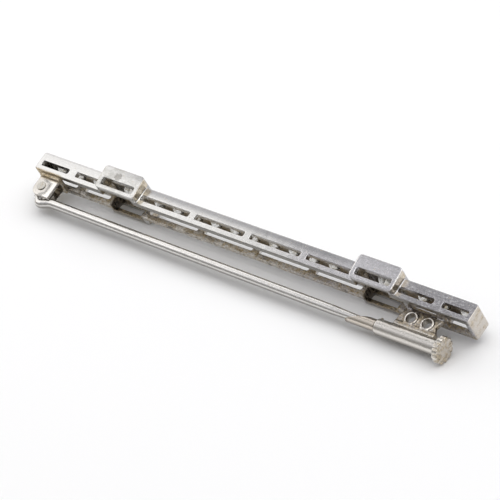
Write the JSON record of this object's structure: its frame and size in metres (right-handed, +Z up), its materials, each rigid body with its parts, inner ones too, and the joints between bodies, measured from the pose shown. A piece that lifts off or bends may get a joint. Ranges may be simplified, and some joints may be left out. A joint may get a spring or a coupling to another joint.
{
  "type": "bar brooch",
  "caption": "Long bar brooch with pierced galleries, two raised boxes, round stones, a hinged pin and a sliding tube clasp.",
  "frame": {"origin": "middle of the bounding box's underside: the surface on which the brooch lies on its side", "axes": "+X along the bar from the hinge to the clasp, +Y towards the jewelled front, +Z up from the surface"},
  "size_m": [0.07, 0.009, 0.0068],
  "materials": {
    "bar_metal": "worn satin white gold, tarnished inside",
    "pin_metal": "polished wire with fine wear",
    "clasp_metal": "worn, slightly warm",
    "stone": "clear cut stone"
  },
  "bodies": {
    "brooch": {"frame": "bar_metal", "rivet": "bar_metal", "stone_1": "stone", "stone_2": "stone", "stone_3": "stone", "stone_4": "stone", "stone_5": "stone", "stone_6": "stone", "stone_7": "stone", "stone_8": "stone", "stone_9": "stone", "stone_10": "stone", "stone_11": "stone", "stone_12": "stone", "stone_13": "stone", "stone_14": "stone", "stone_15": "stone", "stone_16": "stone", "stone_17": "stone", "box_stone_left": "stone", "box_stone_right": "stone"},
    "pin": {"pin_stem": "pin_metal"},
    "sleeve": {"clasp_sleeve": "clasp_metal"}
  },
  "joints": [
    {"name": "pin_swing", "type": "hinge", "parent": "brooch", "child": "pin", "pos_m": [-0.03285, -0.00115, 0.00222], "axis": [0, 0.2974, -0.9547], "range_deg": [0, 80]},
    {"name": "sleeve_slide", "type": "slide", "parent": "brooch", "child": "sleeve", "axis": [1, 0, 0], "range_m": [0, 0.0046]}
  ]
}
